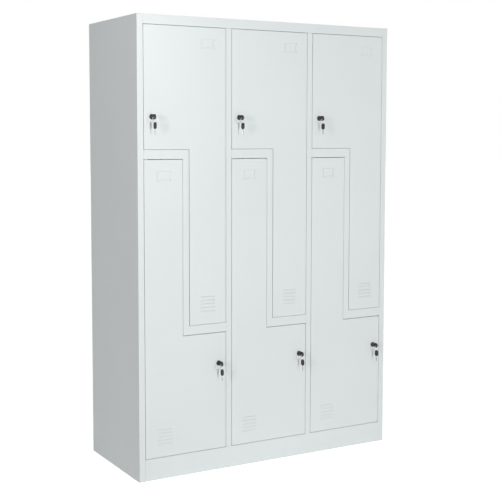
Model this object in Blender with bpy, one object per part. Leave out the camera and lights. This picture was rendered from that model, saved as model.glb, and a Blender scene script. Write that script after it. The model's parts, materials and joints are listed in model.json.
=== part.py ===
"""A steel clothes locker with three columns of two interlocking Z-shaped doors.

Metres, +Z up. The front looks along -Y, and the origin is on the floor, under the middle of the
whole object with its keys. Piece meshes are drawn in the cabinet's own frame: x from the middle
of the piece, y as depth behind the front face, z from the floor or from the joint's axis.
"""

import math

import bmesh
import bpy
import numpy as np
from mathutils import Vector

# The cabinet as a whole
WIDTH = 1.2
DEPTH = 0.5
HEIGHT = 1.85
COLUMN_NAMES = ("left", "middle", "right")
COLUMNS = len(COLUMN_NAMES)

# Sheet metal and the clearance between pieces that meet
PANEL_SHEET = 0.0008
FRAME_SHEET = 0.0012
DOOR_SHEET = 0.001
TOP_SHEET = 0.001
SEAM = 0.0003

# Front frame: posts at the sides, mullions between the columns, header, plinth and Z bands
POST_FACE = 0.026
MULLION_FACE = 0.025
HEADER_FACE = 0.038
PLINTH_FACE = 0.089
JAMB_DEPTH = 0.02
BAND_FACE = 0.037
STILE_FACE = 0.027
WIDE_HEIGHT = 0.487
BACK_FLANGE = 0.02
WELD_FLANGE = 0.015
FLOOR_FLANGE = 0.03

# Doors: folded pans that lie flush in the frame
DOOR_GAP = 0.0015
DOOR_DEPTH = 0.018
DOOR_LIP = 0.012

# Hinge rods, hidden behind the door's long edge
HINGE_INSET = 0.01
HINGE_SETBACK = 0.005
ROD_RADIUS = 0.0025
ROD_CLEARANCE = 0.0004
ROD_TAIL = 0.004

# Cam lock
LOCK_FROM_EDGE = 0.034
LOCK_FROM_END = 0.357
BEZEL_RADIUS = 0.0105
BEZEL_HEIGHT = 0.004
BEZEL_CHAMFER = 0.0012
BARREL_RADIUS = 0.009
BARREL_CLEARANCE = 0.0003
PLUG_RADIUS = 0.0066
PLUG_CLEARANCE = 0.0004
PLUG_STANDOUT = 0.001
NUT_WALL = 0.0035
NUT_THICKNESS = 0.004
CAM_BEHIND_JAMB = 0.0015
CAM_SHEET = 0.0025
CAM_WIDTH = 0.014
CAM_HUB_RADIUS = 0.0085
CAM_CATCH = 0.0085
CAM_SCREW_RADIUS = 0.0045
CAM_SCREW_HEIGHT = 0.003

# Key with a plastic bow, and its spare
BOW_STANDOFF = 0.0095
BOW_LENGTH = 0.026
BOW_WIDTH = 0.02
BOW_THICKNESS = 0.006
BOW_CORNER = 0.009
BOW_HOLE_RADIUS = 0.0028
BOW_HOLE_INSET = 0.0045
BLADE_WIDTH = 0.007
BLADE_THICKNESS = 0.002
BLADE_IN_BOW = 0.004
BLADE_REACH = 0.0125
BLADE_POINT = 0.0025
NOTCH_PITCH = 0.0026
NOTCH_DEPTH = 0.0016
NOTCHES = 4
KEYWAY_CLEARANCE = 0.00035

# Key ring
RING_RADIUS = 0.012
RING_WIRE_RADIUS = 0.001
RING_SLACK = 0.0009

# Card holder pressed into each door
LABEL_WIDTH = 0.062
LABEL_HEIGHT = 0.039
LABEL_DROP = 0.047
LABEL_DEPTH = 0.0028
LABEL_WAIST = 0.006
LABEL_TAB = 0.009
LABEL_ARCH = 0.0075
LABEL_RIM = 0.003

# Air louvres low in each door
LOUVRE_COUNT = 5
LOUVRE_PITCH = 0.0145
LOUVRE_WIDTH = 0.068
LOUVRE_HEIGHT = 0.008
LOUVRE_DEPTH = 0.0045
LOUVRE_FLAP = 0.0007
LOUVRE_END_GAP = 0.001
LOUVRE_FROM_BOTTOM = 0.0475

# Coat rail in each compartment
RAIL_RADIUS = 0.0075
RAIL_FLANGE_RADIUS = 0.015
RAIL_FLANGE_THICKNESS = 0.003
RAIL_DROP = 0.05
RAIL_DEPTH_SHARE = 0.5

# Drawing accuracy: sides of round pieces, decimals kept and how far a cutter overruns
ROUND_SIDES = 20
ROD_SIDES = 16
WIRE_SIDES = 6
CORNER_SIDES = 3
NUT_SIDES = 6
DECIMALS = 7
OVERRUN = 0.004
FLAT_ANGLE = math.radians(0.5)
SHARP_ANGLE = math.radians(35)

# Worked out from the sizes above
HALF_WIDTH = WIDTH / 2
OPENING_WIDTH = (WIDTH - 2 * POST_FACE - (COLUMNS - 1) * MULLION_FACE) / COLUMNS
HALF_OPENING = OPENING_WIDTH / 2
HALF_STILE = STILE_FACE / 2
OPENING_LOW = PLINTH_FACE
OPENING_HIGH = HEIGHT - HEADER_FACE
LOWER_BAND_LOW = OPENING_LOW + WIDE_HEIGHT
LOWER_BAND_HIGH = LOWER_BAND_LOW + BAND_FACE
UPPER_BAND_HIGH = OPENING_HIGH - WIDE_HEIGHT
UPPER_BAND_LOW = UPPER_BAND_HIGH - BAND_FACE
BACK_INNER = DEPTH - PANEL_SHEET - SEAM - PANEL_SHEET - SEAM
SHELF_BACK = BACK_INNER - PANEL_SHEET - SEAM
HINGE_X = HALF_OPENING - DOOR_GAP - HINGE_INSET
LOCK_X = HALF_OPENING - DOOR_GAP - LOCK_FROM_EDGE
CAM_FRONT = JAMB_DEPTH + CAM_BEHIND_JAMB
HOLE_TO_DOOR = BOW_STANDOFF + BOW_LENGTH - BOW_HOLE_INSET
KEY_REACH = HOLE_TO_DOOR + max(BOW_HOLE_INSET, BOW_WIDTH / 2)
RING_DROP = RING_SLACK + RING_RADIUS
FRONT_Y = (KEY_REACH - DEPTH) / 2


# Meshes


def box(x0, x1, y0, y1, z0, z1):
    """The low and high corners of a box."""
    return (x0, y0, z0), (x1, y1, z1)


def added(boxes):
    return [(True, low, high) for low, high in boxes]


def removed(boxes):
    return [(False, low, high) for low, high in boxes]


def folded_sheet(name, steps):
    """One closed mesh from boxes that are added and removed in order, as folded sheet metal is."""
    lines = [
        sorted({round(corner[axis], DECIMALS) for _, *ends in steps for corner in ends})
        for axis in range(3)
    ]
    filled = np.zeros([len(line) + 1 for line in lines], bool)
    for is_solid, low, high in steps:
        spans = tuple(
            slice(
                lines[axis].index(round(low[axis], DECIMALS)) + 1,
                lines[axis].index(round(high[axis], DECIMALS)) + 1,
            )
            for axis in range(3)
        )
        filled[spans] = is_solid
    corners = {}
    faces = []
    for axis in range(3):
        u = (axis + 1) % 3
        v = (axis + 2) % 3
        cells = np.moveaxis(filled, (axis, u, v), (0, 1, 2))
        for plane, i, j in np.argwhere(cells[:-1] != cells[1:]):
            face = []
            for along_u, along_v in ((i - 1, j - 1), (i, j - 1), (i, j), (i - 1, j)):
                index = [0, 0, 0]
                index[axis], index[u], index[v] = int(plane), int(along_u), int(along_v)
                face.append(corners.setdefault(tuple(index), len(corners)))
            faces.append(face if cells[plane, i, j] else face[::-1])
    points = [[lines[axis][index[axis]] for axis in range(3)] for index in corners]
    mesh = bpy.data.meshes.new(name)
    mesh.from_pydata(points, [], faces)
    model = bmesh.new()
    model.from_mesh(mesh)
    bmesh.ops.dissolve_limit(
        model,
        angle_limit=FLAT_ANGLE,
        use_dissolve_boundaries=False,
        verts=model.verts,
        edges=model.edges,
    )
    model.to_mesh(mesh)
    model.free()
    return mesh


def mesh_of(name, points, faces, smooth):
    """A closed mesh whose faces are turned to point out."""
    mesh = bpy.data.meshes.new(name)
    mesh.from_pydata(points, [], faces)
    model = bmesh.new()
    model.from_mesh(mesh)
    bmesh.ops.recalc_face_normals(model, faces=model.faces)
    model.to_mesh(mesh)
    model.free()
    if smooth:
        mesh.shade_smooth()
        mesh.set_sharp_from_angle(angle=SHARP_ANGLE)
    return mesh


def placed(along, position, u, v):
    """A point at a position along one axis, and at u and v on the two other axes in turn."""
    point = [u, v]
    point.insert("XYZ".index(along), position)
    return point


def prism(name, outline, along, low, high, smooth=False):
    """An outline in the two other axes, drawn from low to high along one axis."""
    count = len(outline)
    points = [placed(along, end, u, v) for end in (low, high) for u, v in outline]
    faces = [list(range(count)), list(range(count, 2 * count))]
    faces += [[i, (i + 1) % count, (i + 1) % count + count, i + count] for i in range(count)]
    return mesh_of(name, points, faces, smooth)


def turned(name, profile, along, sides):
    """A solid turned about an axis, from (radius, position) points, with flat ends."""
    points = []
    for radius, position in profile:
        for k in range(sides):
            angle = math.tau * k / sides
            points.append(placed(along, position, radius * math.sin(angle), radius * math.cos(angle)))
    last = (len(profile) - 1) * sides
    faces = [list(range(sides)), list(range(last, last + sides))]
    for row in range(len(profile) - 1):
        for k in range(sides):
            here = row * sides + k
            beside = row * sides + (k + 1) % sides
            faces.append([here, beside, beside + sides, here + sides])
    return mesh_of(name, points, faces, True)


def wire_ring(name, radius, wire_radius):
    """A ring of round wire in the XZ plane."""
    points = []
    for k in range(ROUND_SIDES):
        around = math.tau * k / ROUND_SIDES
        for i in range(WIRE_SIDES):
            angle = math.tau * i / WIRE_SIDES
            reach = radius + wire_radius * math.cos(angle)
            points.append((reach * math.sin(around), wire_radius * math.sin(angle), reach * math.cos(around)))
    faces = []
    for k in range(ROUND_SIDES):
        for i in range(WIRE_SIDES):
            here = k * WIRE_SIDES
            beside = (k + 1) % ROUND_SIDES * WIRE_SIDES
            faces.append([here + i, here + (i + 1) % WIRE_SIDES, beside + (i + 1) % WIRE_SIDES, beside + i])
    return mesh_of(name, points, faces, True)


def arc(centre, radius, start, end, sides):
    """Points on an arc, both ends included, with angles in turns."""
    angles = [math.tau * (start + (end - start) * k / sides) for k in range(sides + 1)]
    return [(centre[0] + radius * math.cos(a), centre[1] + radius * math.sin(a)) for a in angles]


def joined(name, first, second, operation, smooth=False):
    """The mesh of one Boolean of two meshes."""
    bodies = [bpy.data.objects.new(name, mesh) for mesh in (first, second)]
    for body in bodies:
        bpy.context.scene.collection.objects.link(body)
    modifier = bodies[0].modifiers.new(operation, "BOOLEAN")
    modifier.operation = operation
    modifier.solver = "EXACT"
    modifier.object = bodies[1]
    graph = bpy.context.evaluated_depsgraph_get()
    mesh = bpy.data.meshes.new_from_object(bodies[0].evaluated_get(graph))
    for body in bodies:
        bpy.data.objects.remove(body)
    mesh.name = name
    if smooth:
        mesh.shade_smooth()
        mesh.set_sharp_from_angle(angle=SHARP_ANGLE)
    return mesh


def drilled(mesh, along, radius, low, high, u, v, sides):
    """The mesh with a round hole through it."""
    drill = turned("drill", [(radius, low), (radius, high)], along, sides)
    for vertex in drill.vertices:
        vertex.co += Vector(placed(along, 0, u, v))
    return joined(mesh.name, mesh, drill, "DIFFERENCE")


# Finishes and objects


def finish(name, colour, roughness, metallic):
    material = bpy.data.materials.new(name)
    material.use_nodes = True
    shader = material.node_tree.nodes["Principled BSDF"]
    shader.inputs["Base Color"].default_value = (*colour, 1)
    shader.inputs["Roughness"].default_value = roughness
    shader.inputs["Metallic"].default_value = metallic
    return material


def piece(name, mesh, material, place, parent=None):
    """An object at a world place, carried by its parent."""
    obj = bpy.data.objects.new(name, mesh)
    if not mesh.materials:
        mesh.materials.append(material)
    bpy.context.scene.collection.objects.link(obj)
    obj.location = place
    if parent:
        obj.parent = parent
        obj.location = Vector(place) - world_place(parent)
    return obj


def piece_holder(name):
    empty = bpy.data.objects.new(name, None)
    bpy.context.scene.collection.objects.link(empty)
    return empty


def pivot(name, place, parent):
    """An empty on a joint's axis."""
    empty = piece_holder(name)
    empty.parent = parent
    empty.location = Vector(place) - world_place(parent)
    return empty


def world_place(obj):
    """Where an unturned object stands in the world."""
    place = Vector(obj.location)
    while obj.parent:
        obj = obj.parent
        place += Vector(obj.location)
    return place


def column_x(column):
    """The middle of a column's opening."""
    return -HALF_WIDTH + POST_FACE + HALF_OPENING + column * (OPENING_WIDTH + MULLION_FACE)


def column_walls(column):
    """The inner faces of a column's two side walls, measured from its middle."""
    to_web = HALF_OPENING + (MULLION_FACE - PANEL_SHEET) / 2
    to_side = HALF_OPENING + POST_FACE - PANEL_SHEET
    left = to_side if column == 0 else to_web
    right = to_side if column == COLUMNS - 1 else to_web
    return -left, right


# Body of the cabinet


def side_panel(side):
    """A side sheet folded at the front into a post with a jamb, and at the back into a flange."""
    top = HEIGHT - TOP_SHEET - SEAM

    def strip(from_edge, to_edge, y0, y1):
        ends = sorted((side * (HALF_WIDTH - from_edge), side * (HALF_WIDTH - to_edge)))
        return box(*ends, y0, y1, 0, top)

    return folded_sheet(
        "side_panel",
        added(
            [
                strip(0, POST_FACE, 0, FRAME_SHEET),
                strip(POST_FACE - FRAME_SHEET, POST_FACE, 0, JAMB_DEPTH),
                strip(0, PANEL_SHEET, 0, DEPTH),
                strip(0, BACK_FLANGE, DEPTH - PANEL_SHEET, DEPTH),
            ]
        ),
    )


def column_divider():
    """The mullion's channel and the web behind it, which parts two columns."""
    half = MULLION_FACE / 2
    half_web = PANEL_SHEET / 2
    low = OPENING_LOW + SEAM
    high = OPENING_HIGH - SEAM
    behind = JAMB_DEPTH + SEAM
    web_low = OPENING_LOW - FRAME_SHEET
    web_high = HEIGHT - TOP_SHEET - SEAM
    flange = BACK_INNER - PANEL_SHEET
    return folded_sheet(
        "column_divider",
        added([box(-half, half, 0, JAMB_DEPTH, low, high)])
        + removed([box(-half + FRAME_SHEET, half - FRAME_SHEET, FRAME_SHEET, JAMB_DEPTH, low, high)])
        + added(
            [
                box(-half_web, half_web, 0, behind, low, high),
                box(-half_web, half_web, behind, BACK_INNER, web_low, web_high),
                box(-half_web, WELD_FLANGE, flange, BACK_INNER, web_low, web_high),
            ]
        ),
    )


def top_panel():
    """The top sheet with the header folded down from it, and a flange at the back."""
    between = HALF_WIDTH - POST_FACE - SEAM
    between_flanges = HALF_WIDTH - BACK_FLANGE - SEAM
    mesh = folded_sheet(
        "top_panel",
        added(
            [
                box(-HALF_WIDTH, HALF_WIDTH, 0, DEPTH, HEIGHT - TOP_SHEET, HEIGHT),
                box(-between, between, 0, FRAME_SHEET, OPENING_HIGH, HEIGHT),
                box(-between, between, 0, JAMB_DEPTH, OPENING_HIGH, OPENING_HIGH + FRAME_SHEET),
                box(
                    -between_flanges,
                    between_flanges,
                    DEPTH - PANEL_SHEET,
                    DEPTH,
                    HEIGHT - BACK_FLANGE,
                    HEIGHT,
                ),
            ]
        ),
    )
    for column in range(COLUMNS):
        mesh = rod_hole(mesh, column_x(column) + HINGE_X, OPENING_HIGH, OPENING_HIGH + FRAME_SHEET)
    return mesh


def plinth():
    """The base rail under the doors, folded back at its top and bottom."""
    between = HALF_WIDTH - POST_FACE - SEAM
    mesh = folded_sheet(
        "plinth",
        added(
            [
                box(-between, between, 0, FRAME_SHEET, 0, PLINTH_FACE),
                box(-between, between, 0, JAMB_DEPTH, PLINTH_FACE - FRAME_SHEET, PLINTH_FACE),
                box(-between, between, 0, JAMB_DEPTH, 0, FRAME_SHEET),
            ]
        ),
    )
    for column in range(COLUMNS):
        mesh = rod_hole(mesh, column_x(column) - HINGE_X, PLINTH_FACE - FRAME_SHEET, PLINTH_FACE)
    return mesh


def floor_panel():
    """The floor sheet, notched round the posts and drilled for the rods, with flanges turned down."""
    between = HALF_WIDTH - POST_FACE - SEAM
    half = HALF_WIDTH - PANEL_SHEET - SEAM
    front = JAMB_DEPTH + SEAM
    high = PLINTH_FACE - FRAME_SHEET - SEAM
    low = high - PANEL_SHEET
    flange_low = high - FLOOR_FLANGE
    mesh = folded_sheet(
        "floor_panel",
        added(
            [
                box(-between, between, FRAME_SHEET + SEAM, front, low, high),
                box(-half, half, front, BACK_INNER, low, high),
                box(-half, -half + PANEL_SHEET, front, BACK_INNER, flange_low, high),
                box(half - PANEL_SHEET, half, front, BACK_INNER, flange_low, high),
                box(-half, half, BACK_INNER - PANEL_SHEET, BACK_INNER, flange_low, high),
            ]
        ),
    )
    for column in range(COLUMNS):
        mesh = rod_hole(mesh, column_x(column) - HINGE_X, low, high)
    return mesh


def back_panel():
    """The back sheet, held inside the flanges of the sides and the top."""
    half = HALF_WIDTH - PANEL_SHEET - SEAM
    back = DEPTH - PANEL_SHEET - SEAM
    return folded_sheet(
        "back_panel",
        added([box(-half, half, back - PANEL_SHEET, back, 0, HEIGHT - TOP_SHEET - SEAM)]),
    )


def z_partition(column):
    """The Z band between the two doors, and the folded sheet behind it: shelf, web and shelf."""
    left_wall, right_wall = column_walls(column)
    end = HALF_OPENING - SEAM
    behind = JAMB_DEPTH + SEAM
    fold = FRAME_SHEET
    sheet = PANEL_SHEET
    bands = [
        (-end, HALF_STILE, UPPER_BAND_LOW, UPPER_BAND_HIGH),
        (-HALF_STILE, HALF_STILE, LOWER_BAND_LOW, UPPER_BAND_HIGH),
        (-HALF_STILE, end, LOWER_BAND_LOW, LOWER_BAND_HIGH),
    ]
    hollows = [
        (-end, HALF_STILE - fold, UPPER_BAND_LOW + fold, UPPER_BAND_HIGH - fold),
        (-HALF_STILE + fold, HALF_STILE - fold, LOWER_BAND_LOW + fold, UPPER_BAND_HIGH - fold),
        (-HALF_STILE + fold, end, LOWER_BAND_LOW + fold, LOWER_BAND_HIGH - fold),
    ]
    upper_shelf = (UPPER_BAND_HIGH - sheet, UPPER_BAND_HIGH)
    lower_shelf = (LOWER_BAND_HIGH - sheet, LOWER_BAND_HIGH)
    far_left = left_wall + SEAM
    far_right = right_wall - SEAM
    flange = SHELF_BACK - sheet
    mesh = folded_sheet(
        "z_partition",
        added([box(x0, x1, 0, JAMB_DEPTH, z0, z1) for x0, x1, z0, z1 in bands])
        + removed([box(x0, x1, FRAME_SHEET, JAMB_DEPTH, z0, z1) for x0, x1, z0, z1 in hollows])
        + added(
            [
                box(-end, HALF_STILE, 0, SHELF_BACK, *upper_shelf),
                box(far_left, -end, behind, SHELF_BACK, *upper_shelf),
                box(HALF_STILE - sheet, HALF_STILE, 0, SHELF_BACK, lower_shelf[0], upper_shelf[1]),
                box(HALF_STILE - sheet, end, 0, SHELF_BACK, *lower_shelf),
                box(end, far_right, behind, SHELF_BACK, *lower_shelf),
                box(far_left, HALF_STILE, flange, SHELF_BACK, UPPER_BAND_HIGH - WELD_FLANGE, UPPER_BAND_HIGH),
                box(
                    HALF_STILE - sheet,
                    far_right,
                    flange,
                    SHELF_BACK,
                    LOWER_BAND_HIGH - WELD_FLANGE,
                    LOWER_BAND_HIGH,
                ),
            ]
        ),
    )
    mesh = rod_hole(mesh, HINGE_X, LOWER_BAND_HIGH - FRAME_SHEET, LOWER_BAND_HIGH)
    return rod_hole(mesh, -HINGE_X, UPPER_BAND_LOW, UPPER_BAND_LOW + FRAME_SHEET)


def rod_hole(mesh, x, low, high):
    """The mesh with the hole of one hinge rod through a wall that runs from low to high."""
    radius = ROD_RADIUS + ROD_CLEARANCE
    return drilled(mesh, "Z", radius, low - OVERRUN, high + OVERRUN, x, HINGE_SETBACK, ROD_SIDES)


# Doors


def door_shape(is_upper):
    """The wide part and the leg of a door, each as x0, x1, z0, z1 from the column's middle."""
    half = HALF_OPENING - DOOR_GAP
    inner = HALF_STILE + DOOR_GAP
    low = OPENING_LOW + DOOR_GAP
    high = OPENING_HIGH - DOOR_GAP
    if is_upper:
        return (-half, half, UPPER_BAND_HIGH + DOOR_GAP, high), (inner, half, LOWER_BAND_HIGH + DOOR_GAP, high)
    return (-half, half, low, LOWER_BAND_LOW - DOOR_GAP), (-half, -inner, low, UPPER_BAND_LOW - DOOR_GAP)


def inset_boxes(shape, margin, y0, y1):
    return [box(x0 + margin, x1 - margin, y0, y1, z0 + margin, z1 - margin) for x0, x1, z0, z1 in shape]


def door_marks(is_upper):
    """The middle of a door's leg, the top edge over it and the bottom edge of the leg side."""
    leg = door_shape(is_upper)[1]
    return (leg[0] + leg[1]) / 2, leg[3], leg[2]


def label_outline(centre, top):
    """The card holder's outline: straight on top, drawn in at the sides, arched at the bottom."""
    half = LABEL_WIDTH / 2
    waist = half - LABEL_WAIST
    bottom = top - LABEL_HEIGHT
    arch = bottom + LABEL_ARCH
    arch_half = waist - LABEL_TAB / 2
    right = [
        (half, top),
        (half, top - LABEL_TAB / 2),
        (waist, top - LABEL_TAB),
        (waist, bottom + LABEL_TAB),
        (half, bottom + LABEL_TAB / 2),
        (half, bottom),
        (arch_half, bottom),
        (arch_half / 2, (bottom + 2 * arch) / 3),
        (0, arch),
    ]
    left = [(-x, z) for x, z in reversed(right[:-1])]
    return [(centre + x, z) for x, z in right + left]


def louvre_window(centre, low):
    half = LOUVRE_WIDTH / 2
    outline = [(centre - half, low), (centre + half, low)]
    outline += [(centre + half, low + LOUVRE_HEIGHT), (centre - half, low + LOUVRE_HEIGHT)]
    return prism("louvre_window", outline, "Y", -OVERRUN, DOOR_SHEET + OVERRUN)


def louvre_flap(centre, low):
    """The tongue that leans inwards from a louvre's bottom edge."""
    half = LOUVRE_WIDTH / 2 - LOUVRE_END_GAP
    root = (DOOR_SHEET - LOUVRE_FLAP) / 2
    outline = [
        (root, low - LOUVRE_FLAP),
        (root + LOUVRE_FLAP, low - LOUVRE_FLAP),
        (LOUVRE_DEPTH, low + LOUVRE_HEIGHT - LOUVRE_FLAP),
        (LOUVRE_DEPTH - LOUVRE_FLAP, low + LOUVRE_HEIGHT),
    ]
    return prism("louvre_flap", outline, "X", centre - half, centre + half)


def door_panel(is_upper):
    """A door pan with its lock hole, hinge holes, card holder and louvres."""
    shape = door_shape(is_upper)
    leg_middle, top, bottom = door_marks(is_upper)
    label_top = top - LABEL_DROP
    half_label = LABEL_WIDTH / 2 + LABEL_RIM
    pressing = box(
        leg_middle - half_label,
        leg_middle + half_label,
        0,
        DOOR_SHEET + LABEL_DEPTH,
        label_top - LABEL_HEIGHT - LABEL_RIM,
        label_top + LABEL_RIM,
    )
    mesh = folded_sheet(
        "door_panel",
        added(inset_boxes(shape, 0, 0, DOOR_DEPTH))
        + removed(inset_boxes(shape, DOOR_SHEET, DOOR_SHEET, DOOR_DEPTH - DOOR_SHEET))
        + removed(inset_boxes(shape, DOOR_LIP, DOOR_DEPTH - DOOR_SHEET, DOOR_DEPTH))
        + added([pressing]),
    )
    recess = prism("recess", label_outline(leg_middle, label_top), "Y", -OVERRUN, LABEL_DEPTH)
    mesh = joined(mesh.name, mesh, recess, "DIFFERENCE")
    side = 1 if is_upper else -1
    lock_z = lock_height(is_upper)
    mesh = drilled(
        mesh,
        "Y",
        BARREL_RADIUS + BARREL_CLEARANCE,
        -OVERRUN,
        DOOR_SHEET + OVERRUN,
        -side * LOCK_X,
        lock_z,
        ROUND_SIDES,
    )
    for wall in (top, bottom):
        mesh = rod_hole(mesh, side * HINGE_X, wall - DOOR_SHEET, wall + DOOR_SHEET)
    for k in range(LOUVRE_COUNT):
        low = bottom + LOUVRE_FROM_BOTTOM + k * LOUVRE_PITCH
        mesh = joined(mesh.name, mesh, louvre_window(leg_middle, low), "DIFFERENCE")
        mesh = joined(mesh.name, mesh, louvre_flap(leg_middle, low), "UNION")
    return mesh


def moved(mesh, x, y, z):
    """The mesh with its origin moved to a place in its own frame."""
    for vertex in mesh.vertices:
        vertex.co -= Vector((x, y, z))
    return mesh


def hinge_rod(is_upper):
    """A rod from the frame below a door to the frame above it, drawn from the floor up."""
    low = LOWER_BAND_HIGH if is_upper else OPENING_LOW
    high = OPENING_HIGH if is_upper else UPPER_BAND_LOW
    reach = FRAME_SHEET + ROD_TAIL
    return turned("hinge_rod", [(ROD_RADIUS, low - reach), (ROD_RADIUS, high + reach)], "Z", ROD_SIDES)


# Locks and keys, drawn about the lock's axis


def lock_height(is_upper):
    if is_upper:
        return OPENING_HIGH - DOOR_GAP - LOCK_FROM_END
    return OPENING_LOW + DOOR_GAP + LOCK_FROM_END


def lock_body():
    """Bezel, threaded barrel and nut, with the bore for the plug."""
    bezel_back = -SEAM
    barrel_end = CAM_FRONT - PLUG_STANDOUT
    body = turned(
        "lock_body",
        [
            (BEZEL_RADIUS - BEZEL_CHAMFER, -BEZEL_HEIGHT),
            (BEZEL_RADIUS, -BEZEL_HEIGHT + BEZEL_CHAMFER),
            (BEZEL_RADIUS, bezel_back),
            (BARREL_RADIUS, bezel_back),
            (BARREL_RADIUS, barrel_end),
        ],
        "Y",
        ROUND_SIDES,
    )
    nut_front = DOOR_SHEET + SEAM
    nut_outline = arc((0, 0), BARREL_RADIUS + NUT_WALL, 0, (NUT_SIDES - 1) / NUT_SIDES, NUT_SIDES - 1)
    nut = prism("nut", nut_outline, "Y", nut_front, nut_front + NUT_THICKNESS)
    mesh = joined("lock_body", body, nut, "UNION")
    bore = PLUG_RADIUS + PLUG_CLEARANCE
    mesh = drilled(mesh, "Y", bore, -BEZEL_HEIGHT - OVERRUN, barrel_end + OVERRUN, 0, 0, ROUND_SIDES)
    mesh.shade_smooth()
    mesh.set_sharp_from_angle(angle=SHARP_ANGLE)
    return mesh


def lock_cam():
    """The plug with its keyway, the cam that points down and the screw behind it."""
    cam_back = CAM_FRONT + CAM_SHEET
    plug = turned(
        "lock_cam",
        [
            (PLUG_RADIUS, -BEZEL_HEIGHT),
            (PLUG_RADIUS, CAM_FRONT + CAM_SHEET / 2),
            (CAM_SCREW_RADIUS, CAM_FRONT + CAM_SHEET / 2),
            (CAM_SCREW_RADIUS, cam_back + CAM_SCREW_HEIGHT),
        ],
        "Y",
        ROUND_SIDES,
    )
    half = CAM_WIDTH / 2
    length = LOCK_FROM_EDGE + DOOR_GAP + CAM_CATCH
    spread = math.asin(half / CAM_HUB_RADIUS) / math.tau
    hub = arc((0, 0), CAM_HUB_RADIUS, -1 / 4 + spread, 3 / 4 - spread, ROUND_SIDES // 2)
    outline = hub + [(-half, -length), (half, -length)]
    cam = prism("cam", outline, "Y", CAM_FRONT, cam_back)
    mesh = joined("lock_cam", plug, cam, "UNION")
    half_thick = BLADE_THICKNESS / 2 + KEYWAY_CLEARANCE
    half_wide = BLADE_WIDTH / 2 + KEYWAY_CLEARANCE
    keyway = [(-half_thick, -half_wide), (half_thick, -half_wide)]
    keyway += [(half_thick, half_wide), (-half_thick, half_wide)]
    slot = prism("keyway", keyway, "Y", -BEZEL_HEIGHT - OVERRUN, BLADE_REACH + KEYWAY_CLEARANCE)
    return joined("lock_cam", mesh, slot, "DIFFERENCE", smooth=True)


def key():
    """A key drawn about the hole in its bow, with its blade along +Y."""
    half = BOW_WIDTH / 2
    start = -BOW_HOLE_INSET
    end = start + BOW_LENGTH
    corner = min(BOW_CORNER, half)
    outline = []
    for quarter, centre in enumerate(
        (
            (end - corner, half - corner),
            (start + corner, half - corner),
            (start + corner, corner - half),
            (end - corner, corner - half),
        )
    ):
        outline += arc(centre, corner, quarter / 4, (quarter + 1) / 4, CORNER_SIDES)
    half_bow = BOW_THICKNESS / 2
    bow = prism("key", outline, "X", -half_bow, half_bow)
    tip = HOLE_TO_DOOR + BLADE_REACH
    edge = BLADE_WIDTH / 2
    blade = [(end - BLADE_IN_BOW, edge), (end - BLADE_IN_BOW, -edge)]
    first = tip - BLADE_POINT - NOTCHES * NOTCH_PITCH
    for k in range(NOTCHES):
        notch = first + k * NOTCH_PITCH
        blade += [(notch, -edge), (notch + NOTCH_PITCH / 2, -edge + NOTCH_DEPTH)]
    blade += [(tip - BLADE_POINT, -edge), (tip, 0), (tip - BLADE_POINT, edge)]
    half_blade = BLADE_THICKNESS / 2
    mesh = joined("key", bow, prism("blade", blade, "X", -half_blade, half_blade), "UNION")
    return drilled(mesh, "X", BOW_HOLE_RADIUS, -half_bow - OVERRUN, half_bow + OVERRUN, 0, 0, ROD_SIDES)


# Coat rails


def coat_rail(low, high):
    """A round rail between two walls, with a flange at each end."""
    profile = [
        (RAIL_FLANGE_RADIUS, low),
        (RAIL_FLANGE_RADIUS, low + RAIL_FLANGE_THICKNESS),
        (RAIL_RADIUS, low + RAIL_FLANGE_THICKNESS),
        (RAIL_RADIUS, high - RAIL_FLANGE_THICKNESS),
        (RAIL_FLANGE_RADIUS, high - RAIL_FLANGE_THICKNESS),
        (RAIL_FLANGE_RADIUS, high),
    ]
    return turned("coat_rail", profile, "X", ROUND_SIDES)


def rail_span(column, is_upper):
    left_wall, right_wall = column_walls(column)
    if is_upper:
        return left_wall + SEAM, right_wall - SEAM
    return left_wall + SEAM, HALF_STILE - PANEL_SHEET - SEAM


def rail_height(is_upper):
    ceiling = OPENING_HIGH if is_upper else UPPER_BAND_HIGH
    return ceiling - RAIL_DROP


# Assembly


def clear_scene():
    for obj in list(bpy.data.objects):
        bpy.data.objects.remove(obj)


def build_body(paint, steel, cabinet):
    """The fixed pieces: shell, dividers, Z partitions, hinge rods and coat rails."""
    front = (0, FRONT_Y, 0)
    piece("side_panel_left", side_panel(-1), paint, front, cabinet)
    piece("side_panel_right", side_panel(1), paint, front, cabinet)
    piece("top_panel", top_panel(), paint, front, cabinet)
    piece("plinth", plinth(), paint, front, cabinet)
    piece("floor_panel", floor_panel(), paint, front, cabinet)
    piece("back_panel", back_panel(), paint, front, cabinet)
    divider = column_divider()
    for column in range(COLUMNS - 1):
        x = (column_x(column) + column_x(column + 1)) / 2
        name = f"column_divider_{COLUMN_NAMES[column]}"
        piece(name, divider, paint, (x, FRONT_Y, 0), cabinet)
    for column, side_name in enumerate(COLUMN_NAMES):
        place = (column_x(column), FRONT_Y, 0)
        piece(f"z_partition_{side_name}", z_partition(column), paint, place, cabinet)
        for is_upper, level in ((True, "upper"), (False, "lower")):
            rail = coat_rail(*rail_span(column, is_upper))
            place = (column_x(column), FRONT_Y + DEPTH * RAIL_DEPTH_SHARE, rail_height(is_upper))
            piece(f"coat_rail_{level}_{side_name}", rail, steel, place, cabinet)


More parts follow.
